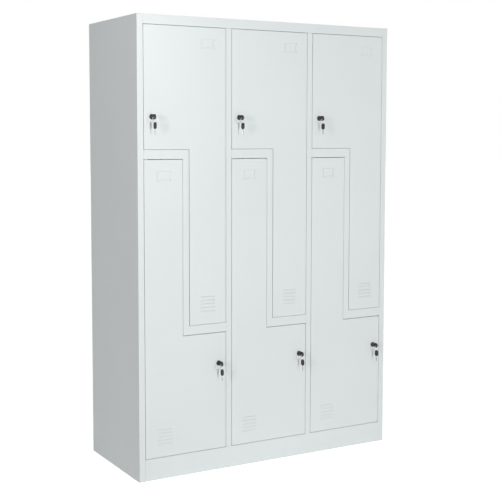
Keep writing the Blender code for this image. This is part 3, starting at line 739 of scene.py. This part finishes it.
class LOCKER_OT_fold_frame(bpy.types.Operator):
    """Rounds the folds of the frame's painted sheets"""

    bl_idname = "locker.fold_frame"
    bl_label = "Fold the frame"

    def execute(self, context):
        sizes = context.scene.locker_sheets
        paint = powder_coat("frame_paint", context.scene.locker_finishes.paint)
        for name in SHEETS:
            model = frame_mesh(name)
            planes = fold_ends(name, 2 * sizes.bend)
            slice_at(model, planes)
            bend(model, [edge for edge in folds(model, 1) if not butts(edge)], sizes.bend)
            bend(model, [edge for edge in folds(model, 1) if butts(edge)], sizes.butt_bend)
            bend(model, folds(model, -1), sizes.bend - sizes.frame_sheet)
            mesh = shaded(plain_mesh(f"{name}_folded", model), planes)
            add_piece(mesh.name, mesh, paint, name)
        return {"FINISHED"}


# Doors


def door_outline(tag, sizes):
    """The outline of a Z door, anticlockwise as seen from the front."""
    low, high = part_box(f"door_panel_{tag}")
    middle = (low.x + high.x) / 2 + sizes.step_across
    inner = sizes.stile / 2 + DOOR_GAP
    if tag.startswith("upper"):
        step = UPPER_BAND[1] + DOOR_GAP - sizes.step_down
        bottom = low.z - sizes.step_down
        points = [(low.x, step), (middle + inner, step), (middle + inner, bottom)]
        return points + [(high.x, bottom), (high.x, high.z), (low.x, high.z)]
    step = LOWER_BAND[0] - DOOR_GAP - sizes.step_down
    top = high.z - sizes.step_down
    points = [(low.x, low.z), (high.x, low.z), (high.x, step)]
    return points + [(middle - inner, step), (middle - inner, top), (low.x, top)]


def leg_middle(tag, stile):
    """The middle of the narrow part of a door, which its card holder and louvres sit on."""
    low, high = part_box(f"door_panel_{tag}")
    middle = (low.x + high.x) / 2
    inner = stile / 2 + DOOR_GAP
    return (middle + inner + high.x) / 2 if tag.startswith("upper") else (low.x + middle - inner) / 2


def card_outline(press, middle, top):
    """The card holder: straight on top, drawn in at the sides, arched below."""
    half = press.card_width / 2
    waist = half - press.card_waist
    tab = press.card_tab
    bottom = top - press.card_height
    arch_half = waist - tab / 2
    left = [(0, bottom + press.card_arch), (-arch_half / 2, bottom + press.card_arch * 2 / 3)]
    left += [(-arch_half, bottom), (-half, bottom), (-half, bottom + tab / 2), (-waist, bottom + tab)]
    left += [(-waist, top - tab), (-half, top - tab / 2), (-half, top)]
    right = [(-x, z) for x, z in reversed(left[1:])]
    return [(middle + x, z) for x, z in reversed(left + right)]


def card_profile(press):
    """The card holder from the sheet over its lip and groove to its panel, as (inset, depth)."""
    lip = press.card_lip
    wide = press.card_groove
    slope = 0.15 * wide
    angles = [QUARTER * k / ARC_STEPS for k in range(ARC_STEPS + 1)]
    points = [(lip * (math.sin(angle) - 1), lip * (1 - math.cos(angle))) for angle in angles]
    points += [(slope, press.card_depth), (4 * slope, press.card_depth)]
    return points + [(wide, press.card_panel + slope), (wide + 2 * slope, press.card_panel)]


def louvre_rows(press, play):
    """The rows of a louvre's tongue from its hinge up, as (half width, height, depth)."""
    height = press.louvre_height
    corner = press.louvre_corner
    rows = []
    steps = 2 * ARC_STEPS
    for k in range(steps + 1):
        rise = height * k / steps
        over = max(0, rise - height + corner)
        half = press.louvre_width / 2 - corner + math.sqrt(corner**2 - over**2) - (play if k else 0)
        rows.append((half, rise, press.louvre_push * (rise / height) ** 3))
    return rows


def across(middle, half, z):
    """Points from left to right at one height."""
    steps = 2 * ARC_STEPS
    return [(middle - half + 2 * half * k / steps, z) for k in range(steps + 1)]


def louvre_loop(press, middle, low):
    """The edge of a louvre's window, with its bottom cut as the tongue's is."""
    rows = louvre_rows(press, 0)
    right = [(middle + half, low + rise) for half, rise, _ in rows[1:]]
    left = [(middle - half, low + rise) for half, rise, _ in reversed(rows[1:])]
    return across(middle, rows[0][0], low) + right + left


def tongue_mesh(press, middle, low):
    model = bmesh.new()
    rows = []
    for half, rise, depth in louvre_rows(press, press.louvre_play):
        rows.append(row(model, across(middle, half, low + rise), FRONT + depth))
    skin(model, rows, closed=False)
    return plain_mesh("tongue", model)


def door_skin(tag, sizes, press, paint, copies):
    """The sheet of one door, folded back at its edges, with its pressings and tongues."""
    outline = door_outline(tag, sizes)
    model = bmesh.new()
    rows = []
    for back, depth in [(sizes.door_lip, DOOR_DEPTH)] + wall_steps(0, DOOR_DEPTH, sizes.bend)[::-1]:
        convex = max(sizes.door_corner - back, NEARLY)
        loop = rounded(inset(outline, back), convex, sizes.door_corner + back)
        rows.append(row(model, loop, FRONT + depth))
    skin(model, rows)
    low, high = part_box(f"door_panel_{tag}")
    middle = leg_middle(tag, sizes.stile)
    card = card_outline(press, middle, high.z - press.card_drop)
    card = rounded(card, press.card_corner, press.card_corner)
    wall = [row(model, inset(card, over), FRONT + depth) for over, depth in card_profile(press)]
    skin(model, wall)
    fill(model, wall[-1])
    lock = lock_place(tag).translation
    holes = [row(model, circle(press.lock_hole, ROUND_SIDES, (lock.x, lock.z)), FRONT)]
    first = low.z + press.louvre_low
    for k in range(press.louvres):
        holes.append(row(model, louvre_loop(press, middle, first + k * press.louvre_pitch), FRONT))
    fill(model, rows[-1], wall[0], *holes)
    tongue = tongue_mesh(press, middle, first)
    step = (0, 0, press.louvre_pitch)
    model.from_mesh(grown("tongues", tongue, copies, Count=press.louvres, Step=step, Finish=paint))
    bmesh.ops.remove_doubles(model, verts=model.verts, dist=MERGE)
    for face in model.faces:
        face.normal_update()
        if face.normal.y > 0.9 and face.calc_center_median().y < FRONT + DOOR_DEPTH / 2:
            face.normal_flip()
    return plain_mesh(f"door_skin_{tag}", model)


def rod_holes(tag, sizes):
    """Cutters for the holes of the rod in the door's top and bottom folds."""
    low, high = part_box(f"door_panel_{tag}")
    x = high.x - sizes.hinge_inset if tag.startswith("upper") else low.x + sizes.hinge_inset
    loop = circle(sizes.rod_hole, SMALL_SIDES, (x, FRONT + sizes.hinge_setback))
    reach = 2 * sizes.door_sheet
    model = bmesh.new()
    for z in (low.z, high.z):
        capped(model, [row(model, loop, z + end, "Z") for end in (-reach, reach)])
    return closed_mesh("rod_holes", model)


class LOCKER_OT_press_doors(bpy.types.Operator):
    """Builds the six doors with their card holders and louvres"""

    bl_idname = "locker.press_doors"
    bl_label = "Press the doors"

    def execute(self, context):
        sizes = context.scene.locker_sheets
        paint = powder_coat("door_paint", context.scene.locker_finishes.paint)
        copies = row_tree()
        for level in ("upper", "lower"):
            first = f"{level}_left"
            sheet = door_skin(first, sizes, context.scene.locker_press, paint, copies)
            mesh = shaded(cut(thickened(sheet, sizes.door_sheet), rod_holes(first, sizes)))
            for side in SIDES:
                node = f"door_panel_{level}_{side}"
                shift = Matrix.Translation((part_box(node)[0].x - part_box(f"door_panel_{first}")[0].x, 0, 0))
                add_piece(f"door_skin_{level}_{side}", mesh, paint, node, shift)
        return {"FINISHED"}


def weld_mark(radius, rise, middle, back):
    """The mark of a spot weld: a raised ring round a shallow middle."""
    model = bmesh.new()
    rows = []
    for share, height in ((1, 0), (0.9, rise), (0.7, rise), (0.55, rise / 4), (0, rise / 4)):
        loop = circle(max(share * radius, NEARLY), MARK_SIDES, middle)
        rows.append(row(model, loop, back + height))
    capped(model, rows)
    mesh = closed_mesh("weld", model)
    mesh.shade_smooth()
    return mesh


class LOCKER_OT_mark_welds(bpy.types.Operator):
    """Puts rows of spot welds on the back sheet"""

    bl_idname = "locker.mark_welds"
    bl_label = "Mark the welds"

    def execute(self, context):
        sizes = context.scene.locker_sheets
        paint = powder_coat("weld_paint", context.scene.locker_finishes.paint)
        copies = row_tree()
        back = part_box("back_panel")[1]
        pitch = sizes.weld_pitch
        rows = []
        for left, right in UPRIGHTS:
            count = int((back.z - OPENING_LOW) / pitch) - 1
            rows.append(((left + right) / 2 + sizes.weld_radius, OPENING_LOW + pitch, count, (0, 0, pitch)))
        for side in SIDES:
            door_low, door_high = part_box(f"door_panel_upper_{side}")
            middle = (door_low.x + door_high.x) / 2
            count = int((middle - door_low.x) / pitch) + 1
            for start, (_, top) in ((door_low.x, UPPER_BAND), (middle, LOWER_BAND)):
                rows.append((start + sizes.weld_margin, top - sizes.weld_drop, count, (0.95 * pitch, 0, 0)))
        for number, (x, z, count, step) in enumerate(rows):
            mark = weld_mark(sizes.weld_radius, sizes.frame_sheet / 8, (x, z), back.y)
            mesh = grown(f"weld_marks_{number}", mark, copies, Count=count, Step=step, Finish=paint)
            add_piece(mesh.name, mesh, paint, "back_panel", replaces=False)
        return {"FINISHED"}


# Bars, locks and keys


class LOCKER_OT_turn_bars(bpy.types.Operator):
    """Builds the hinge rods and the coat rails"""

    bl_idname = "locker.turn_bars"
    bl_label = "Turn the bars"

    def execute(self, context):
        sizes = context.scene.locker_bars
        steel = context.scene.locker_finishes.steel
        upright = drawn_steel("rod_steel", steel, 0.3, (1, 1, 0.03))
        level = drawn_steel("rail_steel", steel, 0.24, (0.03, 1, 1))
        for tag in TAGS:
            low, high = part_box(f"hinge_rod_{tag}")
            radius = (high.x - low.x) / 2
            profile = [(radius - back, z) for back, z in wall_steps(low.z, high.z, sizes.edge)]
            mesh = turned(f"hinge_bar_{tag}", profile, "Z")
            mesh.transform(Matrix.Translation(((low.x + high.x) / 2, (low.y + high.y) / 2, 0)))
            add_piece(mesh.name, mesh, upright, f"hinge_rod_{tag}")

            low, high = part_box(f"coat_rail_{tag}")
            wide = (high.z - low.z) / 2
            start = (low.x - high.x) / 2
            face = start + sizes.flange_thick
            end = [(wide, start)] + [(wide - back, face - rise) for back, rise in edge_steps(sizes.edge)]
            end += [(sizes.rail_radius + sizes.edge, face), (sizes.rail_radius, face + sizes.edge)]
            mesh = turned(f"rail_{tag}", end + [(radius, -x) for radius, x in reversed(end)], "X")
            mesh.transform(Matrix.Translation((low + high) / 2))
            add_piece(mesh.name, mesh, level, f"coat_rail_{tag}")
        return {"FINISHED"}


def lock_place(tag):
    """The lock's axis on the front plane."""
    low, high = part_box(f"lock_body_{tag}")
    return Matrix.Translation(((low.x + high.x) / 2, FRONT, (low.z + high.z) / 2))


def bezel_mesh(sizes):
    radius = sizes.bezel_radius
    bore = sizes.bore_radius
    barrel = sizes.barrel_radius
    front = -sizes.bezel_height
    edge = sizes.bezel_round
    profile = [(bore, 0), (bore, front + edge / 2), (bore + edge / 2, front)]
    profile += [(radius - back, front + rise) for back, rise in reversed(edge_steps(edge))]
    profile += [(radius, -sizes.seat), (barrel, -sizes.seat), (barrel, 0)]
    return turned("lock_bezel", profile, ring=True)


def barrel_mesh(sizes):
    """The threaded barrel behind the bezel."""
    radius = sizes.barrel_radius
    pitch = sizes.thread_pitch
    root = radius - 0.6 * pitch
    start = sizes.seat
    end = sizes.cam_front - pitch
    profile = [(sizes.bore_radius, end), (sizes.bore_radius, start), (radius, start)]
    for k in range(1, int((end - start) / pitch)):
        profile += [(radius, start + k * pitch), (root, start + (k + 0.5) * pitch)]
    return turned("lock_barrel", profile + [(root, end)], ring=True)


def nut_mesh(sizes, door_sheet):
    """A hexagon nut on the barrel, against the back of the door's sheet."""
    front = door_sheet + sizes.seat
    outline = rounded(circle(sizes.nut_radius, 6), sizes.nut_radius / 16, 0)
    hole = circle(sizes.barrel_radius + sizes.nut_play, ROUND_SIDES)
    return plate("lock_nut", outline, front, front + sizes.nut_thick, "Y", sizes.edge, holes=[hole])


def plug_mesh(sizes, keys):
    """The plug with its keyway."""
    front = -sizes.bezel_height
    play = sizes.keyway_play
    half = (keys.blade_thick / 2 + play, keys.blade_width / 2 + play)
    slot = rounded(rectangle((-half[0], -half[1]), half), sizes.keyway_corner, 0)
    flare = sizes.keyway_flare
    walls = [(inset(slot, -flare), front), (slot, front + flare), (slot, keys.blade_reach + play)]
    return socketed("lock_plug", sizes.plug_radius, sizes.cam_front, front, sizes.edge, walls)


def cam_mesh(sizes):
    """The cam: a hub round the screw, with an arm that hangs from it."""
    half = sizes.cam_width / 2
    lean = math.acos(half / sizes.cam_hub)
    sweep = math.pi + 2 * lean
    angles = [sweep * k / SMALL_SIDES - lean for k in range(SMALL_SIDES + 1)]
    hub = [(sizes.cam_hub * math.cos(a), sizes.cam_hub * math.sin(a)) for a in angles]
    arm = [hub[0], hub[-1], (-half, -sizes.cam_length), (half, -sizes.cam_length)]
    outline = hub + rounded(arm, sizes.cam_corner, 0)[2 * (ARC_STEPS + 1):]
    back = sizes.cam_front + sizes.cam_sheet
    return plate("lock_cam_plate", outline, sizes.cam_front, back, "Y", sizes.edge)


def screw_mesh(sizes):
    """A screw head with a hexagon socket."""
    radius = sizes.screw_radius
    start = sizes.cam_front + sizes.cam_sheet / 2
    end = sizes.cam_front + sizes.cam_sheet + sizes.screw_height
    socket = circle(radius / 2, 6)
    walls = [(socket, end), (socket, end - 0.6 * sizes.screw_height)]
    return socketed("lock_screw", radius, start, end, radius / 6, walls)


class LOCKER_OT_fit_locks(bpy.types.Operator):
    """Builds the cam locks: bezel, barrel, nut, plug, cam and screw"""

    bl_idname = "locker.fit_locks"
    bl_label = "Fit the locks"

    def execute(self, context):
        sizes = context.scene.locker_locks
        colours = context.scene.locker_finishes
        black = black_lacquer("bezel_lacquer", colours.lacquer)
        dark = plated("plug_steel", colours.plug, 0.24, 0.36)
        zinc = plated("lock_zinc", colours.zinc, 0.28, 0.42)
        fixed = [
            (bezel_mesh(sizes), black),
            (barrel_mesh(sizes), zinc),
            (nut_mesh(sizes, context.scene.locker_sheets.door_sheet), zinc),
        ]
        turning = [
            (plug_mesh(sizes, context.scene.locker_keys), dark),
            (cam_mesh(sizes), zinc),
            (screw_mesh(sizes), zinc),
        ]
        groups = (("lock_body", "lock_black", fixed), ("lock_cam", "lock_chrome", turning))
        for tag in TAGS:
            for node, slot, pieces in groups:
                for mesh, paint in pieces:
                    add_piece(f"{mesh.name}_{tag}", mesh, paint, f"{node}_{tag}", lock_place(tag))
        return {"FINISHED"}


def bow_mesh(sizes):
    """The plastic bow, drawn in the YZ plane about its hole, with a pocket in each side."""
    half = sizes.bow_width / 2
    start = -sizes.hole_inset
    end = start + sizes.bow_length
    outline = rounded(rectangle((start, -half), (end, half)), sizes.bow_corner, 0, 2 * ARC_STEPS)
    wall = sizes.pocket_wall
    low = (sizes.bow_hole + sizes.pocket_clear, wall - half)
    pocket = rounded(rectangle(low, (end - wall, half - wall)), sizes.pocket_corner, 0)
    holes = [circle(sizes.bow_hole, SMALL_SIDES)]
    thick = sizes.bow_thick / 2
    pockets = [(pocket, sizes.pocket_depth)]
    return plate("key_bow", outline, -thick, thick, "X", sizes.bow_edge, holes, pockets)


def blade_mesh(sizes):
    """The steel blade, with its cuts on the lower edge and a groove in each side."""
    start = sizes.bow_length - sizes.hole_inset - sizes.blade_in_bow
    tip = sizes.hole_to_door + sizes.blade_reach
    shoulder = tip - sizes.blade_point
    edge = sizes.blade_width / 2
    pitch = sizes.notch_pitch
    outline = [(start, -edge)]
    for k in range(sizes.notches):
        notch = shoulder + (k - sizes.notches) * pitch
        outline += [(notch, -edge), (notch + 0.4 * pitch, -edge + sizes.notch_depth)]
        outline += [(notch + 0.6 * pitch, -edge + sizes.notch_depth)]
    outline += [(shoulder, -edge), (tip, 0), (shoulder, edge), (start, edge)]
    groove = rectangle(
        (start + 1.5 * sizes.blade_in_bow, sizes.groove_low), (tip - sizes.blade_in_bow, sizes.groove_high)
    )
    thick = sizes.blade_thick / 2
    pockets = [(rounded(groove, 2 * sizes.groove_depth, 0), sizes.groove_depth)]
    return plate("key_blade", outline, -thick, thick, "X", sizes.blade_edge, pockets=pockets)


class LOCKER_OT_cut_keys(bpy.types.Operator):
    """Builds each lock's key and its spare"""

    bl_idname = "locker.cut_keys"
    bl_label = "Cut the keys"

    def execute(self, context):
        sizes = context.scene.locker_keys
        plastic = moulded_plastic("bow_plastic", context.scene.locker_finishes.plastic)
        steel = drawn_steel("blade_steel", context.scene.locker_finishes.steel, 0.22, (1, 0.05, 1))
        pieces = [(bow_mesh(sizes), plastic), (blade_mesh(sizes), steel)]
        for tag in TAGS:
            hole = lock_place(tag) @ Matrix.Translation((0, -sizes.hole_to_door, 0))
            ring_low, ring_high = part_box(f"key_ring_{tag}")
            drop = hole.translation.z - (ring_low.z + ring_high.z) / 2
            spare = Matrix.Translation((0, 0, -2 * drop)) @ hole @ Matrix.Rotation(-QUARTER, 4, "X")
            for node, matrix in ((f"key_{tag}", hole), (f"spare_key_{tag}", spare)):
                for mesh, material in pieces:
                    add_piece(f"{mesh.name}_{node}", mesh, material, node, matrix)
        return {"FINISHED"}


class LOCKER_OT_wind_rings(bpy.types.Operator):
    """Winds the split rings that the keys hang on"""

    bl_idname = "locker.wind_rings"
    bl_label = "Wind the rings"

    def execute(self, context):
        sizes = context.scene.locker_keys
        steel = plated("ring_wire", context.scene.locker_finishes.steel, 0.24, 0.36)
        wire = sizes.wire_radius
        rise = 2 * wire * sizes.ring_turns
        low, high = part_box(f"key_ring_{TAGS[0]}")
        values = {"Turns": sizes.ring_turns, "Radius": (high.x - low.x) / 2 - wire, "Rise": rise}
        values |= {"Wire": wire, "Finish": steel}
        mesh = grown("split_ring", bpy.data.meshes.new("empty"), ring_tree(), **values)
        mesh.shade_smooth()
        mesh.set_sharp_from_angle(angle=SHARP)
        for tag in TAGS:
            low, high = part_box(f"key_ring_{tag}")
            shift = Matrix.Translation((low + high) / 2 + Vector((0, rise / 2, 0)))
            add_piece(f"split_ring_{tag}", mesh, steel, f"key_ring_{tag}", shift)
        return {"FINISHED"}


# Studio


def add_lamp(name, power, side, hung, target):
    lamp = bpy.data.lights.new(name, "AREA")
    lamp.energy = power
    lamp.size = side
    holder = link_new(name, lamp)
    aim = (Vector(target) - Vector(hung)).to_track_quat("-Z", "Y")
    holder.matrix_world = Matrix.Translation(hung) @ aim.to_matrix().to_4x4()
    holder.visible_camera = False


def seen_directly(tree):
    """A node whose value is 1 for camera, glossy and transmission rays."""
    path = tree.nodes.new("ShaderNodeLightPath")
    total, output = path, "Is Camera Ray"
    for name in ("Is Glossy Ray", "Is Transmission Ray"):
        either = tree.nodes.new("ShaderNodeMath")
        either.operation = "MAXIMUM"
        join(tree, (total, output, either, 0), (path, name, either, 1))
        total, output = either, "Value"
    return total


def light_room(level):
    """A world that is white to look at and lights the locker at its own level."""
    world = bpy.data.worlds.new("studio")
    bpy.context.scene.world = world
    world.use_nodes = True
    tree = world.node_tree
    background = tree.nodes["Background"]
    background.inputs["Color"].default_value = (1, 1, 1, 1)
    join(tree, (mapped(tree, seen_directly(tree), "Value", level, 1), "Result", background, "Strength"))


def floor_material(glow):
    """Pale grey that keeps the locker's shadow and glows white to look at."""
    material, tree, shader = new_material("studio_floor", FLOOR_GREY, 0.6, 0)
    tinted(tree, shader, FLOOR_GREY, clouded(tree, 0.7, 2, 0.995, 1.005))
    shader.inputs["Emission Color"].default_value = (1, 1, 1, 1)
    strength = mapped(tree, seen_directly(tree), "Value", 0, glow)
    join(tree, (strength, "Result", shader, "Emission Strength"))
    return material


def add_camera(studio):
    """The camera of the photograph, from its yaw, pitch and roll."""
    level = math.cos(studio.pitch)
    forward = Vector((math.sin(studio.yaw) * level, math.cos(studio.yaw) * level, -math.sin(studio.pitch)))
    right = Vector((math.cos(studio.yaw), -math.sin(studio.yaw), 0))
    rolled = Matrix.Rotation(-studio.roll, 3, forward)
    turn = Matrix((rolled @ right, rolled @ right.cross(forward), -forward)).transposed()
    camera = bpy.data.cameras.new("camera")
    camera.sensor_width = 36
    camera.lens = studio.lens
    camera.shift_y = studio.shift
    holder = link_new("camera", camera)
    holder.matrix_world = Matrix.Translation(studio.camera_place) @ turn.to_4x4()
    bpy.context.scene.camera = holder


class LOCKER_OT_set_stage(bpy.types.Operator):
    """Sets the floor, the lights and the camera"""

    bl_idname = "locker.set_stage"
    bl_label = "Set the stage"

    def execute(self, context):
        studio = context.scene.locker_studio
        context.scene.view_settings.view_transform = "Standard"
        light_room(studio.world_level)
        for name, (side, target) in LAMPS.items():
            power = getattr(studio, f"{name}_power")
            add_lamp(f"{name}_lamp", power, side, getattr(studio, f"{name}_place"), target)
        mesh = bpy.data.meshes.new("floor")
        corners = rectangle((-FLOOR_REACH, -FLOOR_REACH), (FLOOR_REACH, FLOOR_REACH))
        mesh.from_pydata([(x, y, 0) for x, y in corners], [], [(0, 1, 2, 3)])
        mesh.materials.append(floor_material(studio.floor_glow))
        link_new("floor", mesh)
        add_camera(studio)
        return {"FINISHED"}


class LOCKER_PT_sidebar(bpy.types.Panel):
    """Sizes, finishes and steps of the locker"""

    bl_label = "Locker"
    bl_space_type = "VIEW_3D"
    bl_region_type = "UI"
    bl_category = "Locker"

    def draw(self, context):
        for name, group in GROUPS.items():
            box = self.layout.box()
            box.label(text=group.__doc__)
            for label in group.__annotations__:
                box.prop(getattr(context.scene, name), label)
        for operator in OPERATORS:
            self.layout.operator(operator.bl_idname)


GROUPS = {
    "locker_sheets": SheetSizes,
    "locker_press": PressSizes,
    "locker_locks": LockSizes,
    "locker_keys": KeySizes,
    "locker_bars": BarSizes,
    "locker_finishes": Finishes,
    "locker_studio": StudioSizes,
}
OPERATORS = (
    LOCKER_OT_fold_frame,
    LOCKER_OT_mark_welds,
    LOCKER_OT_press_doors,
    LOCKER_OT_turn_bars,
    LOCKER_OT_fit_locks,
    LOCKER_OT_cut_keys,
    LOCKER_OT_wind_rings,
    LOCKER_OT_set_stage,
)


def register():
    for group in (*GROUPS.values(), *OPERATORS, LOCKER_PT_sidebar):
        bpy.utils.register_class(group)
    for name, group in GROUPS.items():
        setattr(bpy.types.Scene, name, PointerProperty(type=group))


def unregister():
    for name in GROUPS:
        delattr(bpy.types.Scene, name)
    for group in (*GROUPS.values(), *OPERATORS, LOCKER_PT_sidebar):
        bpy.utils.unregister_class(group)


def main():
    register()
    for operator in OPERATORS:
        category, name = operator.bl_idname.split(".")
        getattr(getattr(bpy.ops, category), name)()


if __name__ == "__main__":
    main()
